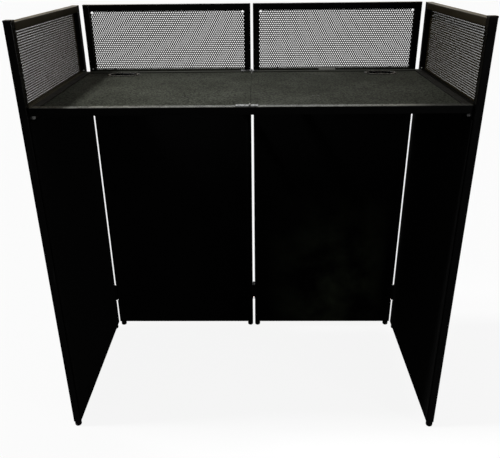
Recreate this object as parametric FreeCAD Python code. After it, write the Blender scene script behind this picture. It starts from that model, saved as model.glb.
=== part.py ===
import FreeCAD
import Part
import os

# A folding booth for a disc jockey: four hinged steel frames stand in a U, the upper window of each
# holds a perforated grille, the lower window is covered by a black cloth scrim, and a table in two
# hinged halves lies between them. All sizes are millimetres, +Z is up, the user stands at -Y.

V = FreeCAD.Vector
UP = V(0, 0, 1)
ORIGIN = V(0, 0, 0)
SIDEWAYS = V(1, 0, 0)
DEPTHWAYS = V(0, 1, 0)

# Folding frames
TUBE = 20.0                   # side of the square tube
TUBE_WALL = 1.5
TUBE_ROUND = 2.0              # rounded outer corners of the tube
FRONT_FRAME_WIDTH = 525.0     # each of the two frames on the audience side
SIDE_FRAME_LENGTH = 545.0     # each of the two frames at the ends
GRILLE_WINDOW = 178.5         # height of the upper window
CROSSBAR_HEIGHT = 40.0        # the bar between grille and scrim is a taller tube
CROSSBAR_DROP = 2.5           # its top lies this far below the tabletop

# Feet and caps in the ends of the stiles
FOOT_HEIGHT = 20.0
FOOT_RADIUS = 10.0
FOOT_ROUND = 5.0
PLUG_DEPTH = 15.0             # how far feet and caps reach into the tube
PLUG_CLEARANCE = 0.1
CAP_HEIGHT = 4.5
CAP_ROUND = 1.5

# Hinges between the frames
HINGE_GAP = 8.0               # gap between two frames at a hinge line
AXIS_OFFSET = 3.5             # hinge axis in front of the tube face
HINGE_HEIGHT = 62.0
KNUCKLE_COUNT = 5
KNUCKLE_SPLIT = 0.4           # gap between one knuckle and the next
LEAF_THICKNESS = 2.0
LEAF_REACH = 21.0             # from the axis to the edge of the leaf
LEAF_CLEARANCE = 0.5          # between a leaf and the other leaf's knuckles
PIN_RADIUS = 2.0
PIN_CLEARANCE = 0.05
PIN_HEAD_RADIUS = 3.0
PIN_HEAD_HEIGHT = 1.5
LOW_HINGE_MIDDLE = 153.0      # height of the lower hinges
HIGH_HINGE_DROP = 70.0        # middle of the upper hinges below the tabletop

# Grilles
GRILLE_THICKNESS = 1.0
GRILLE_SETBACK = 4.5          # behind the outer face of the tubes
GRILLE_NOTCH = 7.0            # square notch at both upper corners
GRILLE_COLUMNS = 12           # a plain grid in place of the fine perforation
GRILLE_ROWS = 4
GRILLE_EDGE = 10.0            # plain edge round the openings
GRILLE_BAR = 14.0             # between openings, so that about two fifths of the sheet are open

# Scrims
SCRIM_THICKNESS = 3.0         # hem and hook-and-loop tape together
SCRIM_CLOTH = 1.0             # the cloth alone
SCRIM_HEM = 18.0              # width of the thick border
SCRIM_SIDE_MARGIN = 3.0       # short of the frame's ends
SCRIM_LIFT = 1.0              # above the lower edge of the bottom rail
SCRIM_LAP = 7.0               # overlap on the crossbar

# Table
TABLE_TOP = 998.0
TABLE_TUBE = 20.0
TABLE_SETBACK = 6.0           # near edge behind the near faces of the frames
TABLE_FAR_GAP = 42.5          # cable gap between the far edge and the front frames
TABLE_END_CLEARANCE = 4.0     # to each side frame
TABLE_SEAM = 0.6              # between the two halves
PANEL_THICKNESS = 10.0
PANEL_DROP = 2.5              # panel's surface below the top of the rails
PANEL_CLEARANCE = 0.6         # between the panel and the tubes round it
STIFFENER_PLACE = 169.0       # middle of the bar under each panel, from the seam
STIFFENER_WIDTH = 20.0

# Cable openings in the tabletop
PORT_INSET = 134.5            # middle of the opening from the table's end
PORT_LENGTH = 86.0
PORT_WIDTH = 40.0
PORT_MARGIN = 2.0             # panel left between the grommet and the far rail
GROMMET_WALL = 2.0
GROMMET_FLANGE = 7.0          # how far the flange reaches past the opening
GROMMET_REBATE = 1.5          # how deep the flange is let into the panel
GROMMET_RISE = 2.0            # flange above the panel
GROMMET_CLEARANCE = 0.2

# Hinges on the table's rails
TABLE_AXIS_RISE = 2.5         # axis above the tabletop
TABLE_KNUCKLE_RADIUS = 2.2
TABLE_KNUCKLE_COUNT = 3
TABLE_LEAF_THICKNESS = 1.5
TABLE_LEAF_LEFT = 34.0
TABLE_LEAF_RIGHT = 20.0
TABLE_HINGE_INSET = 1.0       # from each side of the rail
TABLE_PIN_RADIUS = 1.2

# Sliding bolt that locks the table flat
BOLT_RADIUS = 4.0
BOLT_TRAVEL = 24.0
BOLT_REST_GAP = 12.0          # tip to seam while drawn back
BOLT_PLATE = 2.0
BOLT_GUIDE_LENGTH = 12.0
BOLT_GUIDE_WALL = 3.0
BOLT_CLEARANCE = 0.08
KEEPER_CLEARANCE = 0.4
KEEPER_GAP = 3.0              # keeper to seam
KNOB_RADIUS = 3.0
KNOB_REACH = 14.0
KNOB_CLEARANCE = 1.5          # knob to guides at the ends of travel

# Brackets that carry the table
BRACKET_THICKNESS = 2.0
BRACKET_LENGTH = 30.0
BRACKET_DROP = 14.0           # leg below the table
SIDE_LIP_REACH = 18.0
SIDE_BRACKET_INSET = 13.0     # near bracket's end from the frame's near end
SIDE_BRACKET_FAR_INSET = 33.0  # far bracket's end from the frame's far end
FRONT_LIP_LAP = 18.0          # lip under the table's far rail
FRONT_BRACKET_PLACE = 92.0    # middle of the bracket, from the seam
SUPPORT_BOLT_RADIUS = 2.5
SUPPORT_BOLT_HEAD_RADIUS = 4.5
SUPPORT_BOLT_HEAD = 5.0
SUPPORT_BOLT_SHANK = 9.0
SUPPORT_BOLT_CLEARANCE = 0.2
STOP_PLACE = 243.0            # stop plate on the right, from the seam
STOP_LENGTH = 53.0
STOP_RISE = 2.0               # above the tabletop
STOP_LEG = 22.0

# Places worked out from the sizes above
KNUCKLE_RADIUS = HINGE_GAP / 2
OVERALL_DEPTH = SIDE_FRAME_LENGTH + HINGE_GAP / 2 + 2 * AXIS_OFFSET + TUBE + KNUCKLE_RADIUS
NEAR = -OVERALL_DEPTH / 2                            # near faces of the side frames
SIDE_FAR = NEAR + SIDE_FRAME_LENGTH                  # far ends of the side frames
CORNER_X = HINGE_GAP + FRONT_FRAME_WIDTH             # corner hinge axes, left and right
CORNER_Y = SIDE_FAR + HINGE_GAP / 2
FRONT = CORNER_Y + AXIS_OFFSET                       # near faces of the front frames
BACK = FRONT + TUBE
CENTRE_Y = BACK + AXIS_OFFSET                        # centre hinge axis, at x = 0
SIDE_INNER = CORNER_X + AXIS_OFFSET                  # inner faces of the side frames
CROSSBAR_TOP = TABLE_TOP - CROSSBAR_DROP
CROSSBAR_BOTTOM = CROSSBAR_TOP - CROSSBAR_HEIGHT
FRAME_TOP = CROSSBAR_TOP + GRILLE_WINDOW + TUBE      # top of the upper rails above the floor
HIGH_HINGE_MIDDLE = TABLE_TOP - HIGH_HINGE_DROP
TABLE_BOTTOM = TABLE_TOP - TABLE_TUBE
TABLE_NEAR = NEAR + TABLE_SETBACK
TABLE_FAR = FRONT - TABLE_FAR_GAP
TABLE_END = SIDE_INNER - TABLE_END_CLEARANCE
PANEL_TOP = TABLE_TOP - PANEL_DROP
PANEL_BOTTOM = PANEL_TOP - PANEL_THICKNESS
TABLE_AXIS_Z = TABLE_TOP + TABLE_AXIS_RISE
PORT_X = PORT_INSET - TABLE_END
PANEL_FAR = TABLE_FAR - TABLE_TUBE - PANEL_CLEARANCE
PORT_Y = PANEL_FAR - PORT_MARGIN - GROMMET_CLEARANCE - GROMMET_FLANGE - PORT_WIDTH / 2
REBATE_BOTTOM = PANEL_TOP - GROMMET_REBATE
BOLT_Y = TABLE_FAR - TABLE_TUBE / 2
BOLT_Z = TABLE_BOTTOM - BOLT_PLATE - BOLT_GUIDE_WALL - BOLT_RADIUS

nodes = {}


def box(x0, x1, y0, y1, z0, z1):
    """A block between two corners."""
    return Part.makeBox(x1 - x0, y1 - y0, z1 - z0, V(x0, y0, z0))


def mirrored(shape):
    """The same shape on the other side of the plane of symmetry."""
    return shape.mirror(ORIGIN, SIDEWAYS)


def group(shapes):
    """Several separate solids in one node."""
    return Part.makeCompound(shapes)


def joined(shapes):
    """One solid from pieces that are welded or moulded together."""
    first = shapes[0]
    return first.multiFuse(shapes[1:]).removeSplitter() if len(shapes) > 1 else first


def rounded_along(block, direction, radius):
    """A block with its long edges rounded, as a rolled tube has them."""
    edges = [e for e in block.Edges if e.tangentAt(e.FirstParameter).cross(direction).Length < 1e-6]
    return block.makeFillet(radius, edges)


def upright_tube(x0, y0, z0, z1, closed_top):
    """A stile: a square tube on end, open below for its foot."""
    block = rounded_along(box(x0, x0 + TUBE, y0, y0 + TUBE, z0, z1), UP, TUBE_ROUND)
    roof = z1 - TUBE_WALL if closed_top else z1
    w = TUBE_WALL
    return block.cut(box(x0 + w, x0 + TUBE - w, y0 + w, y0 + TUBE - w, z0, roof))


def level_tube(x0, x1, y0, z0, z1):
    """A rail along X, open at both ends where it is welded to the stiles."""
    block = rounded_along(box(x0, x1, y0, y0 + TUBE, z0, z1), SIDEWAYS, TUBE_ROUND)
    w = TUBE_WALL
    return block.cut(box(x0, x1, y0 + w, y0 + TUBE - w, z0 + w, z1 - w))


def foot():
    """A round plastic foot about the Z axis, with a square plug that fits the tube."""
    body = Part.makeCylinder(FOOT_RADIUS, FOOT_HEIGHT)
    rim = [e for e in body.Edges if e.BoundBox.ZMax < FOOT_HEIGHT / 2]
    body = body.makeFillet(FOOT_ROUND, rim)
    half = TUBE / 2 - TUBE_WALL - PLUG_CLEARANCE
    plug = box(-half, half, -half, half, FOOT_HEIGHT, FOOT_HEIGHT + PLUG_DEPTH)
    return joined([body, plug])


def cap():
    """A plastic cap about the Z axis for the open top of a near stile."""
    half = TUBE / 2
    head = box(-half, half, -half, half, FRAME_TOP, FRAME_TOP + CAP_HEIGHT)
    top = FRAME_TOP + CAP_HEIGHT
    rim = [e for e in head.Edges if abs(e.CenterOfMass.z - top) < 1e-6]
    head = head.makeFillet(CAP_ROUND, rim)
    half = half - TUBE_WALL - PLUG_CLEARANCE
    plug = box(-half, half, -half, half, FRAME_TOP - PLUG_DEPTH, FRAME_TOP)
    return joined([head, plug])


def to_front_left(shape):
    """Carries a frame drawn from its outer end along X to its place at the front, on the left."""
    return shape.translated(V(-HINGE_GAP / 2 - FRONT_FRAME_WIDTH, FRONT, 0))


def to_side_left(shape):
    """Carries a frame drawn from its hinge end along X to its place at the left end."""
    return turned(mirrored(shape), 90).translated(V(-SIDE_INNER, SIDE_FAR, 0))


def frame_pieces(length, cap_at_far_end):
    """The pieces of one frame, drawn with its user side on y = 0 and its first end at x = 0."""
    far = length - TUBE
    pieces = {
        "first_stile": upright_tube(0, 0, FOOT_HEIGHT, FRAME_TOP, True),
        "last_stile": upright_tube(far, 0, FOOT_HEIGHT, FRAME_TOP, not cap_at_far_end),
        "top_rail": level_tube(TUBE, far, 0, FRAME_TOP - TUBE, FRAME_TOP),
        "crossbar": level_tube(TUBE, far, 0, CROSSBAR_BOTTOM, CROSSBAR_TOP),
        "bottom_rail": level_tube(TUBE, far, 0, FOOT_HEIGHT, FOOT_HEIGHT + TUBE),
        "grille": grille(TUBE, far),
        "scrim": scrim(length),
    }
    middles = (TUBE / 2, length - TUBE / 2)
    pieces["feet"] = group([foot().translated(V(x, TUBE / 2, 0)) for x in middles])
    if cap_at_far_end:
        pieces["cap"] = cap().translated(V(middles[1], TUBE / 2, 0))
    return pieces


def grille(x0, x1):
    """The perforated sheet in the upper window, notched at its upper corners to clear the welds."""
    y1 = TUBE - GRILLE_SETBACK
    z0 = CROSSBAR_TOP
    z1 = FRAME_TOP - TUBE
    sheet = box(x0, x1, y1 - GRILLE_THICKNESS, y1, z0, z1)
    n = GRILLE_NOTCH
    for x in (x0, x1 - n):
        sheet = sheet.cut(box(x, x + n, 0, TUBE, z1 - n, z1))
    return sheet.cut(group(grille_openings(x0, x1, z0, z1)))


def grille_openings(x0, x1, z0, z1):
    """A plain grid of openings over the whole sheet."""
    across = (x1 - x0 - 2 * GRILLE_EDGE + GRILLE_BAR) / GRILLE_COLUMNS
    up = (z1 - z0 - 2 * GRILLE_EDGE + GRILLE_BAR) / GRILLE_ROWS
    openings = []
    for column in range(GRILLE_COLUMNS):
        for row in range(GRILLE_ROWS):
            x = x0 + GRILLE_EDGE + column * across
            z = z0 + GRILLE_EDGE + row * up
            openings.append(box(x, x + across - GRILLE_BAR, 0, TUBE, z, z + up - GRILLE_BAR))
    return openings


def scrim(length):
    """The cloth over the lower window: a thick hem on the tubes and thin cloth between."""
    x0 = SCRIM_SIDE_MARGIN
    x1 = length - SCRIM_SIDE_MARGIN
    z0 = FOOT_HEIGHT + SCRIM_LIFT
    z1 = CROSSBAR_BOTTOM + SCRIM_LAP
    side_hem = SCRIM_HEM - SCRIM_SIDE_MARGIN
    cloth_back = SCRIM_CLOTH - SCRIM_THICKNESS
    sheet = box(x0, x1, -SCRIM_THICKNESS, 0, z0, z1)
    hollow = box(x0 + side_hem, x1 - side_hem, cloth_back, 0, z0 + SCRIM_HEM, z1 - SCRIM_LAP)
    return sheet.cut(hollow)


def knuckle_spans(length, count):
    """Start and end of each knuckle along a hinge, with the split between them."""
    step = length / count
    first = KNUCKLE_SPLIT / 2
    return [(first + i * step, first + (i + 1) * step - KNUCKLE_SPLIT) for i in range(count)]


def hinge_leaf(radius, plate, reach, bore, length, spans):
    """A leaf along +Y from an axis on Z, with its own knuckles curled round the axis."""
    edge = radius + LEAF_CLEARANCE
    low, high = plate
    solids = [box(low, high, edge, reach, 0, length)]
    for z0, z1 in spans:
        solids.append(box(low, high, 0, edge, z0, z1))
        solids.append(Part.makeCylinder(radius, z1 - z0, V(0, 0, z0)))
    return joined(solids).cut(Part.makeCylinder(bore, length))


def frame_hinge_leaf(middle, first_knuckle):
    """One leaf of a frame hinge, lying along +Y on the left of its axis."""
    spans = knuckle_spans(HINGE_HEIGHT, KNUCKLE_COUNT)[first_knuckle::2]
    plate = (-KNUCKLE_RADIUS, LEAF_THICKNESS - KNUCKLE_RADIUS)
    bore = PIN_RADIUS + PIN_CLEARANCE
    leaf = hinge_leaf(KNUCKLE_RADIUS, plate, LEAF_REACH, bore, HINGE_HEIGHT, spans)
    return leaf.translated(V(0, 0, middle - HINGE_HEIGHT / 2))


def frame_hinge_pin(middle):
    """The pin of a frame hinge on the Z axis, headed at both ends."""
    start = middle - HINGE_HEIGHT / 2
    shank = Part.makeCylinder(PIN_RADIUS, HINGE_HEIGHT, V(0, 0, start))
    heads = [start - PIN_HEAD_HEIGHT, start + HINGE_HEIGHT]
    return joined([shank] + [Part.makeCylinder(PIN_HEAD_RADIUS, PIN_HEAD_HEIGHT, V(0, 0, z)) for z in heads])


def turned(shape, angle):
    """A copy turned about the Z axis."""
    copy = shape.copy()
    copy.rotate(ORIGIN, UP, angle)
    return copy


def frame_hinges():
    """Leaves and pins of the six hinges between the frames."""
    heights = (LOW_HINGE_MIDDLE, HIGH_HINGE_MIDDLE)
    corner = V(-CORNER_X, CORNER_Y, 0)
    centre = V(0, CENTRE_Y, 0)
    major = [frame_hinge_leaf(z, 0) for z in heights]
    minor = [frame_hinge_leaf(z, 1) for z in heights]
    pins = [frame_hinge_pin(z) for z in heights]
    corner_major = [mirrored(leaf).translated(corner) for leaf in major]
    corner_minor = [turned(leaf, 90).translated(corner) for leaf in minor]
    corner_pins = [pin.translated(corner) for pin in pins]
    centre_major = [turned(mirrored(leaf), 180).translated(centre) for leaf in major]
    centre_minor = [turned(leaf, 180).translated(centre) for leaf in minor]
    centre_pins = [pin.translated(centre) for pin in pins]
    nodes["front_left_hinge_leaves"] = group(corner_major + centre_major)
    nodes["front_right_hinge_leaves"] = group([mirrored(leaf) for leaf in corner_major] + centre_minor)
    nodes["side_left_hinge_leaves"] = group(corner_minor)
    nodes["side_right_hinge_leaves"] = group([mirrored(leaf) for leaf in corner_minor])
    nodes["front_left_hinge_pins"] = group(corner_pins + centre_pins)
    nodes["front_right_hinge_pins"] = group([mirrored(pin) for pin in corner_pins])


def bracket(reach):
    """An angle bracket drawn with its back on y = 0: a leg hangs down and a lip reaches to -Y."""
    half = BRACKET_LENGTH / 2
    leg = box(-half, half, -BRACKET_THICKNESS, 0, TABLE_BOTTOM - BRACKET_DROP, TABLE_BOTTOM)
    lip = box(-half, half, -reach, 0, TABLE_BOTTOM - BRACKET_THICKNESS, TABLE_BOTTOM)
    return joined([leg, lip])


def support_bolt_height():
    """Middle of the leg below the lip, where the bolt goes through."""
    return TABLE_BOTTOM - BRACKET_THICKNESS - (BRACKET_DROP - BRACKET_THICKNESS) / 2


def support_bolt_hole(x):
    """The hole for a support bolt through a bracket and the wall behind it."""
    radius = SUPPORT_BOLT_RADIUS + SUPPORT_BOLT_CLEARANCE
    start = V(x, -BRACKET_THICKNESS, support_bolt_height())
    return Part.makeCylinder(radius, BRACKET_THICKNESS + TUBE_WALL, start, DEPTHWAYS)


def support_bolt(x):
    """A bolt with a hexagonal head on the user side of a bracket."""
    z = support_bolt_height()
    corners = [turned(Part.Vertex(SUPPORT_BOLT_HEAD_RADIUS, 0, 0), 60 * i).Point for i in range(7)]
    head = Part.Face(Part.makePolygon(corners)).extrude(UP * SUPPORT_BOLT_HEAD)
    shank = Part.makeCylinder(SUPPORT_BOLT_RADIUS, SUPPORT_BOLT_SHANK, V(0, 0, SUPPORT_BOLT_HEAD))
    bolt = joined([head, shank])
    bolt.rotate(ORIGIN, SIDEWAYS, -90)
    return bolt.translated(V(x, -BRACKET_THICKNESS - SUPPORT_BOLT_HEAD, z))


def side_supports(pieces):
    """Brackets and bolts on a side frame's crossbar, which gets holes for the bolts."""
    half = BRACKET_LENGTH / 2
    middles = (SIDE_BRACKET_FAR_INSET + half, SIDE_FRAME_LENGTH - SIDE_BRACKET_INSET - half)
    for x in middles:
        pieces["crossbar"] = pieces["crossbar"].cut(support_bolt_hole(x))
    brackets = [bracket(SIDE_LIP_REACH).translated(V(x, 0, 0)).cut(support_bolt_hole(x)) for x in middles]
    pieces["brackets"] = group(brackets)
    pieces["support_bolts"] = group([support_bolt(x) for x in middles])


def front_bracket():
    """The bracket on the left front crossbar, long enough to reach under the table's far rail."""
    reach = TABLE_FAR_GAP + FRONT_LIP_LAP
    return bracket(reach).translated(V(-FRONT_BRACKET_PLACE, FRONT, 0))


def stop_plate():
    """A low plate on the right front crossbar that keeps gear from sliding off the far edge."""
    x0 = STOP_PLACE - STOP_LENGTH / 2
    y0 = FRONT - BRACKET_THICKNESS
    return box(x0, x0 + STOP_LENGTH, y0, FRONT, TABLE_TOP - STOP_LEG, TABLE_TOP + STOP_RISE)


def frames():
    """The four frames with their grilles, scrims, feet, caps and brackets."""
    front = frame_pieces(FRONT_FRAME_WIDTH, False)
    side = frame_pieces(SIDE_FRAME_LENGTH, True)
    side_supports(side)
    front_names = {"first_stile": "outer_stile", "last_stile": "centre_stile"}
    side_names = {"first_stile": "far_stile", "last_stile": "near_stile"}
    for piece, shape in front.items():
        placed = to_front_left(shape)
        name = front_names.get(piece, piece)
        nodes["front_left_" + name] = placed
        nodes["front_right_" + name] = mirrored(placed)
    for piece, shape in side.items():
        placed = to_side_left(shape)
        name = side_names.get(piece, piece)
        nodes["side_left_" + name] = placed
        nodes["side_right_" + name] = mirrored(placed)
    nodes["front_left_brackets"] = front_bracket()
    nodes["front_right_brackets"] = group([mirrored(front_bracket()), stop_plate()])


def table_tube(x0, x1, y0, y1, z1, direction):
    """A tube of the table's frame, hollow and closed at its ends, standing on the table's underside."""
    block = rounded_along(box(x0, x1, y0, y1, TABLE_BOTTOM, z1), direction, TUBE_ROUND)
    w = TUBE_WALL
    return block.cut(box(x0 + w, x1 - w, y0 + w, y1 - w, TABLE_BOTTOM + w, z1 - w))


def table_frame():
    """The welded frame of the left half: two rails, an end tube and two low bars under the panel."""
    inner = -TABLE_SEAM / 2
    outer = -TABLE_END
    t = TABLE_TUBE
    near = TABLE_NEAR + t
    far = TABLE_FAR - t
    stiffener = -STIFFENER_PLACE - STIFFENER_WIDTH / 2
    return joined([
        table_tube(outer, inner, TABLE_NEAR, near, TABLE_TOP, SIDEWAYS),
        table_tube(outer, inner, far, TABLE_FAR, TABLE_TOP, SIDEWAYS),
        table_tube(outer, outer + t, near, far, TABLE_TOP, DEPTHWAYS),
        table_tube(inner - t, inner, near, far, PANEL_BOTTOM, DEPTHWAYS),
        table_tube(stiffener, stiffener + STIFFENER_WIDTH, near, far, PANEL_BOTTOM, DEPTHWAYS),
    ])


def stadium(margin, z0, z1):
    """An upright block with round ends at the left cable opening, larger than it by a margin all round."""
    radius = PORT_WIDTH / 2 + margin
    half = (PORT_LENGTH - PORT_WIDTH) / 2
    middle = box(PORT_X - half, PORT_X + half, PORT_Y - radius, PORT_Y + radius, z0, z1)
    ends = [Part.makeCylinder(radius, z1 - z0, V(PORT_X + s * half, PORT_Y, z0)) for s in (-1, 1)]
    return joined([middle] + ends)


def table_panel():
    """The left panel, let in between the tubes, with its cable opening and the rebate round it."""
    x0 = -TABLE_END + TABLE_TUBE + PANEL_CLEARANCE
    y0 = TABLE_NEAR + TABLE_TUBE + PANEL_CLEARANCE
    panel = box(x0, -TABLE_SEAM / 2, y0, PANEL_FAR, PANEL_BOTTOM, PANEL_TOP)
    rebate = stadium(GROMMET_FLANGE + GROMMET_CLEARANCE, REBATE_BOTTOM, PANEL_TOP)
    return panel.cut(stadium(0, PANEL_BOTTOM, PANEL_TOP)).cut(rebate)


def grommet():
    """The flanged sleeve that lines the left cable opening."""
    top = PANEL_TOP + GROMMET_RISE
    sleeve = stadium(-GROMMET_CLEARANCE, PANEL_BOTTOM, REBATE_BOTTOM)
    flange = stadium(GROMMET_FLANGE, REBATE_BOTTOM, top)
    bore = stadium(-GROMMET_CLEARANCE - GROMMET_WALL, PANEL_BOTTOM, top)
    return joined([sleeve, flange]).cut(bore)


def table_hinges():
    """Leaves and pins of the hinges on the table's near and far rails, with the axis along Y."""
    length = TABLE_TUBE - 2 * TABLE_HINGE_INSET
    starts = (TABLE_NEAR + TABLE_HINGE_INSET, TABLE_FAR - TABLE_TUBE + TABLE_HINGE_INSET)
    bore = TABLE_PIN_RADIUS + PIN_CLEARANCE
    plate = (-TABLE_AXIS_RISE, TABLE_LEAF_THICKNESS - TABLE_AXIS_RISE)
    spans = knuckle_spans(length, TABLE_KNUCKLE_COUNT)
    left = hinge_leaf(TABLE_KNUCKLE_RADIUS, plate, TABLE_LEAF_LEFT, bore, length, spans[0::2])
    right = hinge_leaf(TABLE_KNUCKLE_RADIUS, plate, TABLE_LEAF_RIGHT, bore, length, spans[1::2])
    for leaf in (left, right):
        leaf.rotate(ORIGIN, V(1, 1, 1), 240)
    places = [V(0, start, TABLE_AXIS_Z) for start in starts]
    pins = [Part.makeCylinder(TABLE_PIN_RADIUS, length, place, DEPTHWAYS) for place in places]
    nodes["table_left_hinge_leaves"] = group([mirrored(left).translated(place) for place in places])
    nodes["table_right_hinge_leaves"] = group([right.translated(place) for place in places])
    nodes["table_hinge_pins"] = group(pins)


def bolt_guide(x0, x1, clearance):
    """A bored block that hangs under the far rail and holds the sliding bolt."""
    half = BOLT_RADIUS + BOLT_GUIDE_WALL
    block = box(x0, x1, BOLT_Y - half, BOLT_Y + half, BOLT_Z - half, TABLE_BOTTOM - BOLT_PLATE)
    return block.cut(Part.makeCylinder(BOLT_RADIUS + clearance, x1 - x0, V(x0, BOLT_Y, BOLT_Z), SIDEWAYS))


def bolt_plate(x0, x1):
    """The plate between a guide and the underside of the far rail."""
    half = BOLT_RADIUS + BOLT_GUIDE_WALL
    return box(x0, x1, BOLT_Y - half, BOLT_Y + half, TABLE_BOTTOM - BOLT_PLATE, TABLE_BOTTOM)


def table_lock():
    """The sliding bolt, its two guides on the left half and its keeper on the right half."""
    tip = -BOLT_REST_GAP
    first = tip - BOLT_GUIDE_LENGTH
    slot = BOLT_TRAVEL + 2 * KNOB_RADIUS + 2 * KNOB_CLEARANCE
    last = first - slot - BOLT_GUIDE_LENGTH
    guides = [bolt_guide(x, x + BOLT_GUIDE_LENGTH, BOLT_CLEARANCE) for x in (first, last)]
    nodes["table_bolt_guides"] = joined([bolt_plate(last, tip)] + guides)
    shaft = Part.makeCylinder(BOLT_RADIUS, tip - last, V(last, BOLT_Y, BOLT_Z), SIDEWAYS)
    knob_x = last + BOLT_GUIDE_LENGTH + KNOB_CLEARANCE + KNOB_RADIUS
    knob = Part.makeCylinder(KNOB_RADIUS, KNOB_REACH, V(knob_x, BOLT_Y, BOLT_Z), DEPTHWAYS * -1)
    nodes["table_bolt"] = joined([shaft, knob])
    keeper = bolt_guide(KEEPER_GAP, KEEPER_GAP + BOLT_GUIDE_LENGTH, KEEPER_CLEARANCE)
    nodes["table_bolt_keeper"] = joined([bolt_plate(KEEPER_GAP, KEEPER_GAP + BOLT_GUIDE_LENGTH), keeper])


def table():
    """Both halves of the table, their hinges and the lock under the seam."""
    for name, shape in (("frame", table_frame()), ("panel", table_panel()), ("grommet", grommet())):
        nodes["table_left_" + name] = shape
        nodes["table_right_" + name] = mirrored(shape)
    table_hinges()
    table_lock()


frames()
frame_hinges()
table()
os.makedirs("parts", exist_ok=True)
for name, shape in nodes.items():
    shape.exportStep("parts/" + name + ".step")
    print(name, len(shape.Solids), "solids", round(shape.Volume), "mm3", shape.isValid())
whole = group(list(nodes.values())).optimalBoundingBox()
print(len(nodes), "nodes", round(whole.XLength, 2), round(whole.YLength, 2), round(whole.ZLength, 2), "mm")
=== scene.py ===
"""A folding booth for a disc jockey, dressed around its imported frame.

Four hinged tube frames stand in a U. The upper window of each holds a perforated grille, the lower
window is covered by a black cloth scrim, and a table in two hinged halves lies between them.
Sizes are in metres, +Z is up and the user stands at -Y.
"""

from __future__ import annotations

import logging
import math
from dataclasses import dataclass
from enum import Enum
from functools import cached_property, reduce
from itertools import cycle
from typing import Callable, Iterable, Mapping, Sequence, Union

import bmesh
import bpy
from mathutils import Matrix, Vector, noise


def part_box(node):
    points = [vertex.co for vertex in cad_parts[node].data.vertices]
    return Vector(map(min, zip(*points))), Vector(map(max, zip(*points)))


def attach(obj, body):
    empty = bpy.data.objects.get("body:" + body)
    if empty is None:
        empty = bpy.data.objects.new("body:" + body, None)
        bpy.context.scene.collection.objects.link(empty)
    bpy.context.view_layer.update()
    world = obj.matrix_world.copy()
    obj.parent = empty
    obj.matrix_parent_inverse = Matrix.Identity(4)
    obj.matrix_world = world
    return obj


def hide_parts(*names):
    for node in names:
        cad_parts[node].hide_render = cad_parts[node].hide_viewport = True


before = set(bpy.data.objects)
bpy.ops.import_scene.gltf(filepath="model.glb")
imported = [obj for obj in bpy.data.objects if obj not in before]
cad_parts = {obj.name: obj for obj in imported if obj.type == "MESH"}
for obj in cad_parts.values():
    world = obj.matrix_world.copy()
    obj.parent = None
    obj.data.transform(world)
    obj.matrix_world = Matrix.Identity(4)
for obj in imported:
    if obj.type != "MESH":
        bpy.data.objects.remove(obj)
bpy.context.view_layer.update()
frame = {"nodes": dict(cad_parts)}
LOG = logging.getLogger("booth")

Socket = bpy.types.NodeSocket
Span = tuple[float, float]
Triple = tuple[float, float, float]
Colour = Triple
Source = Union[float, Sequence[float], Socket]
Inputs = Mapping[Union[str, int], Source]
Point = bmesh.types.BMVert
Loop = list[bmesh.types.BMEdge]

MM = 0.001
ROOT3 = math.sqrt(3)
UPRIGHT = Matrix.Rotation(math.radians(90), 4, "X")
TOWARD_USER = Vector((0, -1, 0))
SIDES = (-1, 1)
WHITE = (1.0, 1.0, 1.0)
NOISE = (0.3, 0.7)  # nearly all of a noise pattern lies between these values
PEEL_RELIEF = (0.00009, 0.35)  # height of the paint's orange peel, and how much of it shows
BENT = 1.0  # an edge turned by more than this many radians is a corner
SOFT_CREASE = 60.0  # edges of beads, cloth and thread stay smooth up to this many degrees
SEEN_RAYS = ("Is Camera Ray", "Is Glossy Ray", "Is Transmission Ray")


class Stance(Enum):
    """Where a folding frame stands in the U."""

    FRONT = "front"
    SIDE = "side"


class Hand(Enum):
    """Which half of the booth a piece belongs to, as the user sees it."""

    LEFT = -1
    RIGHT = 1


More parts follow.
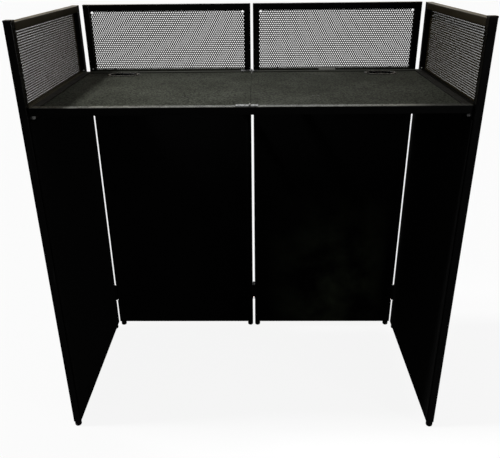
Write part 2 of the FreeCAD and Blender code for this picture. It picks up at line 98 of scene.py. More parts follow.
class Wiring:
    """A node tree, wired one step at a time."""

    tree: bpy.types.NodeTree
    coordinates: str

    @cached_property
    def place(self) -> Socket:
        """The coordinates that the patterns are read at."""
        return self.step("ShaderNodeTexCoord").outputs[self.coordinates]

    def feed(self, socket: Socket, source: Source) -> None:
        """Links a socket, or sets its value.

        Args:
            socket: The input.
            source: Another node's output, or a number or colour.
        """
        if isinstance(source, Socket):
            self.tree.links.new(source, socket)
        else:
            socket.default_value = source

    def step(self, kind: str, inputs: Inputs | None = None, **options: str) -> bpy.types.Node:
        """Adds a node.

        Args:
            kind: The node's type.
            inputs: What goes into its sockets, by name or number.
            **options: Its options.

        Returns:
            The new node.
        """
        node = self.tree.nodes.new(kind)
        for key, value in options.items():
            setattr(node, key, value)
        for key, source in (inputs or {}).items():
            self.feed(node.inputs[key], source)
        return node

    def sums(self, operation: str, first: Source, second: Source = 0.0) -> Socket:
        """One step of arithmetic, by the name of the Math node's operation."""
        return self.step("ShaderNodeMath", {0: first, 1: second}, operation=operation).outputs[0]

    def times(self, *factors: Source) -> Socket:
        """The product of two or more values."""
        return reduce(lambda first, second: self.sums("MULTIPLY", first, second), factors)

    def rays(self, *kinds: str) -> Socket:
        """1 for a light ray of one of these kinds, 0 for any other."""
        found = [self.step("ShaderNodeLightPath").outputs[kind] for kind in kinds]
        return reduce(lambda first, second: self.sums("MAXIMUM", first, second), found)

    def along(self) -> list[Socket]:
        """The place as three separate numbers."""
        return list(self.step("ShaderNodeSeparateXYZ", {0: self.place}).outputs)

    def clouds(self, scale: float, detail: float, stretch: Triple | None = None) -> Socket:
        """Soft irregular variation.

        Args:
            scale: Lumps per metre, roughly.
            detail: Octaves of finer lumps.
            stretch: Factors on the scale along X, Y and Z, for grain that runs one way.

        Returns:
            A value about 0.5.
        """
        place = self.place
        if stretch:
            place = self.step("ShaderNodeMapping", {"Vector": place, "Scale": stretch}).outputs[0]
        return self.step("ShaderNodeTexNoise", {"Vector": place, "Scale": scale, "Detail": detail}).outputs[0]

    def cells(self, scale: float, feature: str = "F1") -> Socket:
        """Distance to the middle of rounded cells, such as pebbles or loops, so many per metre."""
        inputs = {"Vector": self.place, "Scale": scale}
        return self.step("ShaderNodeTexVoronoi", inputs, feature=feature).outputs["Distance"]

    def between(self, value: Source, low: float, high: float, *to: float) -> Socket:
        """Carries values from low to high to the range from 0 to 1, or another, and stops at its ends."""
        ends = dict(zip(("From Min", "From Max", "To Min", "To Max"), (low, high, *(to or (0.0, 1.0)))))
        return self.step("ShaderNodeMapRange", {"Value": value, **ends}).outputs[0]

    def mixed(self, share: Socket, first: Source, second: Source) -> Socket:
        """A number between two others: the first where the share is 0, the second where it is 1."""
        return self.step("ShaderNodeMix", {0: share, 2: first, 3: second}).outputs[0]

    def shaded(self, share: Socket, first: Source, second: Source) -> Socket:
        """A colour between two others: the first where the share is 0, the second where it is 1."""
        full = [colour if isinstance(colour, Socket) else (*colour, 1.0) for colour in (first, second)]
        return self.step("ShaderNodeMix", {0: share, 6: full[0], 7: full[1]}, data_type="RGBA").outputs[2]

    def relief(self, height: Socket, depth: float, strength: float) -> Socket:
        """The normal of a bumpy surface: bumps of a depth in metres, and how much of them shows."""
        inputs = {"Strength": strength, "Distance": depth, "Height": height}
        return self.step("ShaderNodeBump", inputs).outputs[0]


@dataclass(frozen=True)
class Finish(Wiring):
    """What a piece is coated with or made of, patterned on the piece's own coordinates."""

    name: str
    coordinates = "Object"

    @cached_property
    def bare(self) -> bpy.types.Material:
        """Starts a material with a plain shader.

        Returns:
            The material before it is wired.
        """
        material = bpy.data.materials.new(self.name)
        material.use_nodes = True
        return material

    @cached_property
    def tree(self) -> bpy.types.NodeTree:
        """The material's nodes."""
        return self.bare.node_tree

    @cached_property
    def material(self) -> bpy.types.Material:
        """The material, wired when it is first asked for."""
        self.mix()
        return self.bare

    def mix(self) -> None:
        """Each kind of finish wires its material here."""
        raise NotImplementedError

    def settle(self, **sockets: Source) -> None:
        """Sets or links the shader's own sockets.

        Args:
            **sockets: Socket names in lower case with underscores, and their values.
        """
        inputs = self.tree.nodes["Principled BSDF"].inputs
        for key, source in sockets.items():
            self.feed(inputs[key.replace("_", " ").title().replace("Ior", "IOR")], source)


@dataclass(frozen=True)
class PowderCoat(Finish):
    """Black powder coat baked on steel: fine orange peel, uneven gloss and faint handling scuffs."""

    name: str = "frame_paint"
    colour: Colour = (0.0017, 0.0017, 0.0018)
    scuffed: Colour = (0.012, 0.012, 0.0122)
    gloss: float = 0.42
    smooth: float = 0.2
    dull: float = 0.34
    peel: float = 900.0

    def mix(self) -> None:
        """Orange peel over patchy gloss, with thin scuffs along the tube."""
        patches = self.clouds(14.0, 4.0)
        scratches = self.clouds(60.0, 5.0, (1.0, 1.0, 0.12))
        worn = self.times(self.between(scratches, 0.64, 0.72), self.between(patches, 0.5, 0.62))
        self.settle(
            base_color=self.shaded(worn, self.colour, self.scuffed),
            roughness=self.between(patches, 0.32, 0.68, self.smooth, self.dull),
            normal=self.relief(self.clouds(self.peel, 1.0), *PEEL_RELIEF),
            specular_ior_level=self.gloss,
        )


@dataclass(frozen=True)
class WornCoat(Finish):
    """Powder coat worn on its top faces: rubbed shiny and with a painted highlight along the near side, paler
    along the far one.
    """

    name: str = "table_paint"
    colour: Colour = (0.0026, 0.0026, 0.0027)
    dulled: Colour = (0.0048, 0.0046, 0.0034)
    paler: Colour = (0.044, 0.0465, 0.038)
    # rubbed wear and a painted highlight: the pale colour of the near tops
    rubbed: Colour = (0.165, 0.168, 0.152)
    top_from: float = 0.9972
    near_to: float = -0.262
    far_from: float = 0.198
    rubbed_highlight_end: Span = (0.45, 0.36)
    gloss: float = 0.2
    polish: float = 0.48
    peel: float = 900.0

    def mix(self) -> None:
        """Orange peel, with the tops of the tubes worn by hands and cables, and a painted highlight on the
        near tops.
        """
        across, depth, up = self.along()
        patches = self.clouds(45.0, 4.0)
        uneven = self.between(patches, *NOISE, 0.5, 1.0)
        top = self.sums("GREATER_THAN", up, self.top_from)
        reached = self.between(across, *self.rubbed_highlight_end, 0.2, 1.0)
        # painted highlight and wear on the near tops
        near = self.times(top, self.sums("LESS_THAN", depth, self.near_to), reached)
        far = self.times(top, self.sums("GREATER_THAN", depth, self.far_from))
        base: Source = self.colour
        for share, colour in ((top, self.dulled), (far, self.paler), (near, self.rubbed)):
            base = self.shaded(self.times(share, uneven), base, colour)
        dull = self.between(patches, *NOISE, 0.66, 0.8)
        self.settle(
            base_color=base,
            roughness=self.sums("SUBTRACT", dull, self.times(near, self.polish)),
            normal=self.relief(self.clouds(self.peel, 1.0), *PEEL_RELIEF),
            specular_ior_level=self.gloss,
        )


@dataclass(frozen=True)
class ScrimCloth(Finish):
    """Matt black plain-woven cloth with slightly uneven threads, and painted light: a paler patch low down on
    the right of the front.
    """

    name: str = "scrim_cloth"
    colour: Colour = (0.002, 0.002, 0.0021)
    raised: Colour = (0.0065, 0.0065, 0.0067)
    # painted light: the colour of a lit patch on the front cloth
    paler: Colour = (0.06, 0.074, 0.043)
    painted_light_starts: Span = (0.05, 0.26)
    painted_light_ends: Span = (0.5, 0.42)
    painted_light_below: Span = (0.58, 0.3)
    thread: float = 0.0007
    depth: float = 0.00022

    def mix(self) -> None:
        """A plain weave whose threads vary in thickness and shade."""
        across, depth, up = self.along()
        turns = math.pi / self.thread
        weft = self.sums("SINE", self.times(self.sums("ADD", across, depth), turns))
        warp = self.sums("SINE", self.times(up, turns))
        weave = self.between(self.times(weft, warp), -1.0, 1.0)
        slubs = self.clouds(1.0, 2.0, (9.0, 9.0, 900.0))
        ends = self.clouds(1.0, 2.0, (900.0, 900.0, 9.0))
        uneven = self.times(self.sums("ADD", slubs, ends), 0.5)
        fade = self.between(self.clouds(5.0, 3.0), *NOISE, 0.5, 1.0)
        shade = self.times(self.between(uneven, 0.38, 0.66), fade)
        # painted light: a paler patch low down on the right half of the front scrims
        painted_light_patch = self.times(
            self.between(across, *self.painted_light_starts),
            self.between(across, *self.painted_light_ends),
            self.between(up, *self.painted_light_below),
            self.between(self.clouds(7.0, 4.0), 0.36, 0.66),
        )
        height = self.sums("ADD", weave, self.times(uneven, 0.8))
        self.settle(
            base_color=self.shaded(painted_light_patch, self.shaded(shade, self.colour, self.raised), self.paler),
            roughness=self.between(uneven, *NOISE, 0.82, 0.95),
            normal=self.relief(height, self.depth, 0.6),
            specular_ior_level=0.12,
            sheen_weight=0.02,
            sheen_roughness=0.5,
        )


@dataclass(frozen=True)
class FuzzyTape(Finish):
    """The loop side of hook-and-loop tape."""

    name: str = "loop_tape"
    colour: Colour = (0.003, 0.003, 0.003)
    tips: Colour = (0.012, 0.012, 0.012)

    def mix(self) -> None:
        """Tiny loops that catch the light at their tips."""
        loops = self.cells(1500.0)
        tangle = self.clouds(500.0, 4.0)
        self.settle(
            base_color=self.shaded(self.between(loops, 0.2, 0.7, 1.0, 0.0), self.colour, self.tips),
            roughness=self.between(tangle, *NOISE, 0.88, 1.0),
            normal=self.relief(self.sums("ADD", loops, tangle), 0.0004, 0.8),
            specular_ior_level=0.1,
        )


@dataclass(frozen=True)
class SewingThread(Finish):
    """Twisted black polyester thread."""

    name: str = "sewing_thread"
    colour: Colour = (0.006, 0.006, 0.006)
    ridge: Colour = (0.02, 0.02, 0.02)
    turns: float = 9000.0
    slope: float = 0.6

    def mix(self) -> None:
        """Fine diagonal twist."""
        across, depth, up = self.along()
        slant = self.sums("ADD", self.sums("ADD", across, depth), self.times(up, self.slope))
        twist = self.between(self.sums("SINE", self.times(slant, self.turns)), -1.0, 1.0)
        self.settle(
            base_color=self.shaded(twist, self.colour, self.ridge),
            roughness=self.between(self.clouds(1200.0, 3.0), *NOISE, 0.5, 0.7),
            normal=self.relief(twist, 0.00008, 0.6),
            specular_ior_level=0.3,
        )


@dataclass(frozen=True)
class MouldedPlastic(Finish):
    """Injection-moulded black plastic with a fine spark-eroded grain."""

    colour: Colour = (0.005, 0.005, 0.005)
    rubbed: Colour = (0.018, 0.018, 0.018)
    gloss: float = 0.3
    roughness: float = 0.42

    def mix(self) -> None:
        """Fine grain, rubbed smoother in patches."""
        rubbed = self.clouds(45.0, 4.0)
        self.settle(
            base_color=self.shaded(self.between(rubbed, 0.52, 0.75), self.colour, self.rubbed),
            roughness=self.between(rubbed, *NOISE, self.roughness + 0.12, self.roughness - 0.08),
            normal=self.relief(self.cells(2200.0), 0.00008, 0.4),
            specular_ior_level=self.gloss,
        )


@dataclass(frozen=True)
class PebbledLaminate(Finish):
    """Black laminate pressed with a pebble grain, as on equipment tables."""

    name: str = "tabletop"
    hollow: Colour = (0.012, 0.0129, 0.0102)
    crest: Colour = (0.064, 0.068, 0.0545)
    rubbed: Colour = (0.075, 0.08, 0.064)
    # painted shade: a darker band along the near edge, at the seam with the near rail
    seam_shade: Colour = (0.02, 0.021, 0.017)
    seam_shade_band: Span = (-0.262, -0.249)
    pebble: float = 240.0

    def mix(self) -> None:
        """Pebbles of uneven height, a little rubbed where things slide over them, with painted shade along
        the near edge.
        """
        traffic = self.clouds(7.0, 4.0)
        crest = self.between(self.cells(self.pebble, "SMOOTH_F1"), 0.15, 0.62, 1.0, 0.0)
        height = self.sums("ADD", crest, self.times(self.clouds(1100.0, 3.0), 0.5))
        worn = self.times(self.between(traffic, 0.45, 0.7), crest)
        base = self.shaded(worn, self.shaded(crest, self.hollow, self.crest), self.rubbed)
        # painted shade darkens the panel towards its near edge
        seam_shaded = self.between(self.along()[1], *self.seam_shade_band, 0.7, 0.0)
        self.settle(
            base_color=self.shaded(seam_shaded, base, self.seam_shade),
            roughness=self.between(traffic, *NOISE, 0.62, 0.5),
            normal=self.relief(height, 0.0003, 0.5),
            specular_ior_level=0.02,
        )


@dataclass(frozen=True)
class ZincPlate(Finish):
    """Bright zinc plating on small steel fittings."""

    name: str = "zinc_steel"
    light: Colour = (0.62, 0.63, 0.64)
    dark: Colour = (0.36, 0.37, 0.38)
    metal: float = 1.0
    roughness: float = 0.24

    def mix(self) -> None:
        """Faint crystals and drawn lines in the plating."""
        crystals = self.clouds(260.0, 3.0)
        drawn = self.clouds(1.0, 2.0, (60.0, 2600.0, 2600.0))
        self.settle(
            base_color=self.shaded(self.between(crystals, *NOISE), self.dark, self.light),
            metallic=self.metal,
            roughness=self.between(crystals, *NOISE, self.roughness, self.roughness + 0.14),
            normal=self.relief(drawn, 0.00004, 0.3),
        )


@dataclass(frozen=True)
class BlackedSteel(Finish):
    """Oil-blackened steel screws."""

    name: str = "blacked_screws"
    light: Colour = (0.035, 0.035, 0.036)
    dark: Colour = (0.012, 0.012, 0.012)

    def mix(self) -> None:
        """Mottled dark oxide."""
        mottle = self.clouds(700.0, 3.0)
        self.settle(
            base_color=self.shaded(self.between(mottle, 0.35, 0.65), self.dark, self.light),
            metallic=0.7,
            roughness=self.between(mottle, *NOISE, 0.32, 0.5),
            normal=self.relief(mottle, 0.00006, 0.4),
        )


@dataclass(frozen=True)
class PaintedBrackets(Finish):
    """Powder-coated angle brackets beside a stop plate of bare brushed steel whose pale colour is painted
    light.
    """

    name: str = "bracket_paint_and_lit_plate"
    paint: Colour = (0.0045, 0.0045, 0.005)
    # painted light: near-white and hardly metallic, so the plate shows bright where little light reaches it
    steel: Colour = (0.8, 0.8, 0.75)
    metal: float = 0.12
    plate_from: float = 0.2

    def mix(self) -> None:
        """Black up to where the bare plate starts; beyond, brushed steel painted pale as painted light."""
        bare = self.sums("GREATER_THAN", self.along()[0], self.plate_from)
        brushed = self.clouds(1.0, 3.0, (20.0, 900.0, 2200.0))
        self.settle(
            base_color=self.shaded(bare, self.paint, self.steel),
            metallic=self.times(bare, self.metal),
            roughness=self.between(brushed, *NOISE, 0.3, 0.48),
            normal=self.relief(brushed, 0.00005, 0.4),
            specular_ior_level=0.2,
        )


@dataclass(frozen=True)
class FloorPaper(Finish):
    """The pale floor, white to the eye, which hardly shows in shiny surfaces."""

    name: str = "floor_paper"
    colour: Colour = (0.17, 0.17, 0.17)
    dim: Colour = (0.02, 0.02, 0.02)
    glow: float = 0.9
    reflected: float = 0.02

    def mix(self) -> None:
        """A plain colour that keeps the booth's shadow, with a glow that is only there to be seen."""
        glow = self.mixed(self.rays("Is Camera Ray"), self.reflected, self.glow)
        self.settle(
            base_color=self.shaded(self.rays("Is Glossy Ray"), self.colour, self.dim),
            roughness=1.0,
            specular_ior_level=0.0,
            emission_color=(*WHITE, 1.0),
            emission_strength=self.times(self.rays(*SEEN_RAYS), glow),
        )


PAINT = PowderCoat()
GRILLE_PAINT = PowderCoat(
    "grille_paint", colour=(0.034, 0.027, 0.013), gloss=0.12, smooth=0.36, dull=0.5, peel=1400.0
)
SIDE_PAINT = PowderCoat(
    "side_rail_paint", (0.021, 0.0155, 0.006), (0.028, 0.022, 0.013), gloss=0.3, smooth=0.3, dull=0.44
)
# Painted light and shade: one black paint, lighter on the left crossbars and darker on the right ones.
SIDE_BARS_LIT_AND_SHADED = {
    Hand.LEFT: PowderCoat("left_bar_painted_light", (0.045, 0.04, 0.027), gloss=0.1, smooth=0.55, dull=0.7),
    Hand.RIGHT: PowderCoat(
        "right_bar_painted_shade", (0.003, 0.003, 0.0024), (0.006, 0.006, 0.005), gloss=0.03, smooth=0.55, dull=0.7
    ),
}
FRONT_BAR_PAINT = WornCoat("front_bar_paint", top_from=0.987, near_to=-1.0, far_from=0.255, gloss=0.06)
TABLE_PAINT = WornCoat()
CLOTH = ScrimCloth()
TAPE = FuzzyTape()
THREAD = SewingThread()
FOOT_PLASTIC = MouldedPlastic("foot_plastic")
GROMMET_PLASTIC = MouldedPlastic(
    "grommet_plastic", (0.0015, 0.0015, 0.0015), (0.004, 0.004, 0.004), gloss=0.36, roughness=0.24
)
LAMINATE = PebbledLaminate()
ZINC = ZincPlate()
# Painted highlight: near-white, hardly metallic zinc on the support bolts and stile screws stands in for
# their glint.
ZINC_WITH_PAINTED_GLINT = ZincPlate("zinc_with_painted_glint", light=(0.9, 0.9, 0.89), dark=(0.78, 0.78, 0.77), metal=0.08)
SCREW_STEEL = BlackedSteel()
BRACKETS = PaintedBrackets()
FLOOR = FloorPaper()


def points_of(made: Iterable[object]) -> list[Point]:
    """The points among what an operator made."""
    return [thing for thing in made if isinstance(thing, Point)]


def edges_of(points: Iterable[Point]) -> Loop:
    """The edges between points, each once."""
    return list(dict.fromkeys(edge for point in points for edge in point.link_edges))


class Draft:
    """A mesh in the making, which becomes one piece of the booth."""

    def __init__(self) -> None:
        """Starts with an empty mesh."""
        self.mesh = bmesh.new()

    def everything(self) -> list[Union[Point, bmesh.types.BMEdge, bmesh.types.BMFace]]:
        """All that is drawn so far."""
        return [*self.mesh.verts, *self.mesh.edges, *self.mesh.faces]

    def ring(
        self, radius: float, height: float, corners: int = 12, apart: float = 0.0, pulled: float = 1.0
    ) -> Loop:
        """Draws a closed loop round the Z axis.

        Args:
            radius: Its radius.
            height: Its height on the axis.
            corners: Number of points.
            apart: How far its two halves are moved apart along X.
            pulled: Factor on the radius of every third point, for a cross.

        Returns:
            The loop's edges.
        """
        verts = bmesh.ops.create_circle(self.mesh, segments=corners, radius=radius)["verts"]
        turn = Matrix.Rotation(math.pi / corners, 4, "Z")
        bmesh.ops.transform(self.mesh, matrix=Matrix.Translation((0, 0, height)) @ turn, verts=verts)
        for side in SIDES:
            half = [v for v in verts if v.co.x * side > 0]
            bmesh.ops.translate(self.mesh, vec=(side * apart / 2, 0, 0), verts=half)
        if pulled != 1.0:
            inner = [v for v in verts if abs(abs(v.co.x) - abs(v.co.y)) < 0.01 * radius]
            bmesh.ops.scale(self.mesh, vec=(pulled, pulled, 1.0), verts=inner)
        return edges_of(verts)

    def skin(self, loops: Sequence[Loop]) -> None:
        """Bridges each loop to the next; all have the same number of points."""
        for low, high in zip(loops, loops[1:]):
            bmesh.ops.bridge_loops(self.mesh, edges=low + high)

    def closed(self, loops: Sequence[Loop]) -> None:
        """Bridges each loop to the next and puts a face on both ends.

        Args:
            loops: Loops with the same number of points, in order.
        """
        self.skin(loops)
        for end in (loops[-1], loops[0]):
            bmesh.ops.edgeloop_fill(self.mesh, edges=end)

    def copied(self, part: Sequence[object], place: Matrix) -> None:
        """Puts a copy of a part of the draft somewhere else."""
        made = bmesh.ops.duplicate(self.mesh, geom=part)["geom"]
        bmesh.ops.transform(self.mesh, matrix=place, verts=points_of(made))

    def repeated(self, step: Vector, doublings: int) -> None:
        """Repeats everything a step apart, by doubling the number of copies so often."""
        for done in range(doublings):
            self.copied(self.everything(), Matrix.Translation(step * 2**done))

    def set_at(self, places: Iterable[Matrix]) -> None:
        """Puts a copy of everything at each place, and takes away what was at the origin.

        Args:
            places: Where the copies go.
        """
        pattern = self.everything()
        for place in places:
            self.copied(pattern, place)
        bmesh.ops.delete(self.mesh, geom=points_of(pattern), context="VERTS")

    def trimmed(self, point: Sequence[float], outward: Sequence[float], keep: bool = False) -> None:
        """Cuts everything along a plane, and keeps or clears what lies beyond it."""
        cut = {"plane_co": point, "plane_no": outward, "clear_outer": not keep}
        bmesh.ops.bisect_plane(self.mesh, geom=self.everything(), **cut)

    def without(self, test: Callable[[Vector], bool]) -> None:
        """Deletes each face whose middle passes the test."""
        faces = [face for face in self.mesh.faces if test(face.calc_center_median())]
        bmesh.ops.delete(self.mesh, geom=faces, context="FACES")

    def merged(self, distance: float = 1e-6) -> None:
        """Joins points that lie on each other."""
        bmesh.ops.remove_doubles(self.mesh, verts=self.mesh.verts[:], dist=distance)

    def thickened(self, thickness: float) -> None:
        """Gives a flat sheet in the XY plane its thickness, towards +Z."""
        made = bmesh.ops.extrude_face_region(self.mesh, geom=self.mesh.faces[:])["geom"]
        bmesh.ops.translate(self.mesh, vec=(0, 0, thickness), verts=points_of(made))

    def scaled(self, across: float, along: float, up: float) -> None:
        """Scales everything along X, Y and Z."""
        bmesh.ops.scale(self.mesh, vec=(across, along, up), verts=self.mesh.verts[:])

    def moved(self, place: Matrix) -> None:
        """Moves everything."""
        bmesh.ops.transform(self.mesh, matrix=place, verts=self.mesh.verts[:])

    def as_mesh(self, name: str) -> bpy.types.Mesh:
        """Ends the draft.

        Args:
            name: The mesh's name.

        Returns:
            What was drawn.
        """
        mesh = bpy.data.meshes.new(name)
        self.mesh.to_mesh(mesh)
        self.mesh.free()
        return mesh

    def piece(
        self, name: str, finish: Finish, body: str, slot: str, crease: float = 40.0
    ) -> bpy.types.Object:
        """Makes the object.

        Args:
            name: The piece's name.
            finish: What it is coated with or made of.
            body: The CAD body that it moves with.
            slot: Not used.
            crease: Edges sharper than this, in degrees, stay sharp.

        Returns:
            The piece, riding on its body.
        """
        bmesh.ops.recalc_face_normals(self.mesh, faces=self.mesh.faces[:])
        mesh = self.as_mesh(name)
        mesh.polygons.foreach_set("use_smooth", [True] * len(mesh.polygons))
        mesh.set_sharp_from_angle(angle=math.radians(crease))
        mesh.materials.append(finish.material)
        piece = stood(name, mesh)
        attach(piece, body)
        LOG.info("%s: %d faces on %s", name, len(mesh.polygons), body)
        return piece


def stood(name: str, data: bpy.types.ID, place: Matrix = Matrix.Identity(4)) -> bpy.types.Object:
    """Puts an object into the scene.

    Args:
        name: Its name.
        data: Its mesh, lamp or camera.
        place: Where it stands.

    Returns:
        The object.
    """
    thing = bpy.data.objects.new(name, data)
    thing.matrix_world = place
    bpy.context.scene.collection.objects.link(thing)
    return thing


def facing(point: Vector, normal: Vector) -> Matrix:
    """The matrix that carries what is drawn on +Z to a point, turned to the normal there."""
    return Matrix.Translation(point) @ normal.to_track_quat("Z", "Y").to_matrix().to_4x4()


def dressed(finishes: Mapping[str, Finish]) -> None:
    """Gives CAD nodes their finishes.

    Args:
        finishes: The finish of each node, by the node's name.
    """
    for node, finish in finishes.items():
        piece = frame["nodes"][node]
        if not piece.material_slots:
            piece.data.materials.append(None)
        for slot in piece.material_slots:
            slot.material = finish.material
        LOG.info("%s: dressed with %s", node, finish.name)


@dataclass(frozen=True)
class Screw:
    """A screw whose pan head has a cross recess."""

    radius: float
    rise: float
    finish: Finish = SCREW_STEEL
    profile: tuple[Span, ...] = ((1.0, -0.2), (1.0, 0.35), (0.82, 0.86), (0.66, 1.0))
    recess: float = 0.52
    recess_levels: Span = (1.0, 0.1)
    pulled: float = 0.42

    def drive(self, name: str, body: str, spots: Iterable[Vector], *outward: Vector) -> None:
        """Drives screws.

        Args:
            name: The piece's name.
            body: The CAD body that they are in.
            spots: Where they sit.
            *outward: The outward direction of the face that they are in, or of each one's.
        """
        draft = Draft()
        loops = [draft.ring(self.radius * wide, self.rise * high) for wide, high in self.profile]
        for high in self.recess_levels:
            loops.append(draft.ring(self.radius * self.recess, self.rise * high, pulled=self.pulled))
        draft.closed(loops)
        draft.set_at(map(facing, spots, cycle(outward)))
        draft.piece(name, self.finish, body, "zinc_steel")


@dataclass
class FoldingFrame:
    """One hinged frame of square tube, drawn with X along it, Y outward and Z up."""

    stance: Stance
    hand: Hand
    tube: float = 20 * MM
    bead: float = 2.1 * MM
    bead_ripples: int = 9
    bead_share: float = 0.86
    bead_dip: float = 0.84
    bead_end: float = 0.55
    bead_sunk: float = 0.35
    leaf_heights: Span = (0.153, 0.928)
    leaf_screw: Screw = Screw(3.4 * MM, 0.6 * MM)
    leaf_screw_step: float = 20 * MM
    corner_leaf: Span = (0.531, 0.272)
    centre_leaf: Span = (0.002, 0.273)
    side_leaf: Span = (0.546, 0.257)
    # painted highlight: the stile screw is near-white
    stile_screw: Screw = Screw(2.4 * MM, 1.2 * MM, ZINC_WITH_PAINTED_GLINT)
    side_stile_spot: Triple = (0.541, 0.235, 0.9985)
    front_stile_spot: Triple = (0.518, 0.2625, 0.998)
    bracket_screw: Screw = Screw(3.2 * MM, 1.2 * MM)
    bracket_thick: float = 2 * MM
    bracket_row: Triple = (0.092, 0.009, 0.97)  # its middle, half its length and its height
    plate_row: Triple = (0.243, 0.018, 0.983)

    @property
    def name(self) -> str:
        """The frame's name, which is also its body's."""
        return f"{self.stance.value}_{self.hand.name.lower()}"

    @property
    def in_front(self) -> bool:
        """Whether the frame stands in the front of the U."""
        return self.stance is Stance.FRONT

    @property
    def turn(self) -> Matrix:
        """From the frame's own axes to the booth's."""
        return Matrix.Rotation(0.0 if self.in_front else math.radians(-90 * self.hand.value), 4, "Z")

    def own_box(self, part: str) -> tuple[Vector, Vector]:
        """A node's box along the frame's own axes.

        Args:
            part: The node's name without the frame's.

        Returns:
            Its lowest and highest corners.
        """
        back = self.turn.inverted()
        first, second = (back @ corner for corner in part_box(f"{self.name}_{part}"))
        return Vector(map(min, first, second)), Vector(map(max, first, second))

    def dress(self) -> None:
        """Paints the tubes and dresses the small parts that keep their CAD shape."""
        parts = dict.fromkeys(("top_rail", "bottom_rail", "brackets", "hinge_leaves"), PAINT)
        parts["feet"] = FOOT_PLASTIC
        if self.in_front:
            parts |= {"outer_stile": PAINT, "centre_stile": PAINT, "hinge_pins": SCREW_STEEL}
            parts["crossbar"] = FRONT_BAR_PAINT
            if self.hand is Hand.RIGHT:
                parts["brackets"] = BRACKETS
        else:
            parts |= {"far_stile": PAINT, "near_stile": PAINT, "top_rail": SIDE_PAINT}
            # painted light on the left crossbars, painted shade on the right ones, painted highlight on the
            # support bolts
            parts |= {"crossbar": SIDE_BARS_LIT_AND_SHADED[self.hand], "cap": FOOT_PLASTIC, "support_bolts": ZINC_WITH_PAINTED_GLINT}
        dressed({f"{self.name}_{part}": finish for part, finish in parts.items()})

    def build_welds(self) -> None:
        """Rippled weld beads where the rails meet the stiles inside the windows."""
        top_low, top_high = self.own_box("top_rail")
        bar_low, bar_high = self.own_box("crossbar")
        bottom_high = self.own_box("bottom_rail")[1]
        draft = Draft()
        length = self.tube * self.bead_share
        last = 2 * self.bead_ripples
        loops = []
        for i in range(last + 1):
            swell = (1.0 if i % 2 else self.bead_dip) * (self.bead_end if i in (0, last) else 1.0)
            loops.append(draft.ring(self.bead * swell, length * i / last, 8))
        draft.closed(loops)
        inset = self.bead * self.bead_sunk
        levels = (top_low.z - inset, bar_high.z + inset, bar_low.z - inset, bottom_high.z + inset)
        ends = (top_low.x + inset, top_high.x - inset)
        start = top_low.y + (self.tube + length) / 2
        draft.set_at(self.turn @ Matrix.Translation((x, start, z)) @ UPRIGHT for x in ends for z in levels)
        draft.piece(f"weld_beads_{self.name}", PAINT, self.name, "frame_paint", SOFT_CREASE)

    def build_leaf_screws(self) -> None:
        """Screws through the hinge leaves into the stiles."""
        side = self.hand.value
        faces = [(self.side_leaf, (0, 1, 0))]
        if self.in_front:
            faces = [(self.corner_leaf, (side, 0, 0)), (self.centre_leaf, (-side, 0, 0))]
        spots = [
            Vector((side * x, y, height + step * self.leaf_screw_step))
            for height in self.leaf_heights
            for step in (-1, 0, 1)
            for (x, y), _ in faces
        ]
        outward = [Vector(direction) for _, direction in faces]
        self.leaf_screw.drive(f"hinge_screws_{self.name}", self.name, spots, *outward)

    def build_stile_screws(self) -> None:
        """A painted-highlight screw on each side frame's far stile and on the left outer stile, level with
        the table.
        """
        if self.in_front and self.hand is Hand.RIGHT:
            return
        x, y, z = self.front_stile_spot if self.in_front else self.side_stile_spot
        spots = [Vector((self.hand.value * x, y, z))]
        self.stile_screw.drive(f"stile_screw_{self.name}", self.name, spots, TOWARD_USER)

    def build_bracket_screws(self) -> None:
        """Screws through the front brackets, and through the stop plate on the right."""
        if not self.in_front:
            return
        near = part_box(f"{self.name}_brackets")[1].y - self.bracket_thick
        rows = [self.bracket_row]
        if self.hand is Hand.RIGHT:
            rows.append(self.plate_row)
        spots = [
            Vector((self.hand.value * (middle + step * half), near, height))
            for middle, half, height in rows
            for step in SIDES
        ]
        self.bracket_screw.drive(f"bracket_screws_{self.name}", self.name, spots, TOWARD_USER)

    def build(self) -> None:
        """Dresses the frame and builds what belongs to it."""
        self.dress()
        self.build_welds()
        self.build_leaf_screws()
        self.build_stile_screws()
        self.build_bracket_screws()
        Grille(self).build()
        Scrim(self).build()


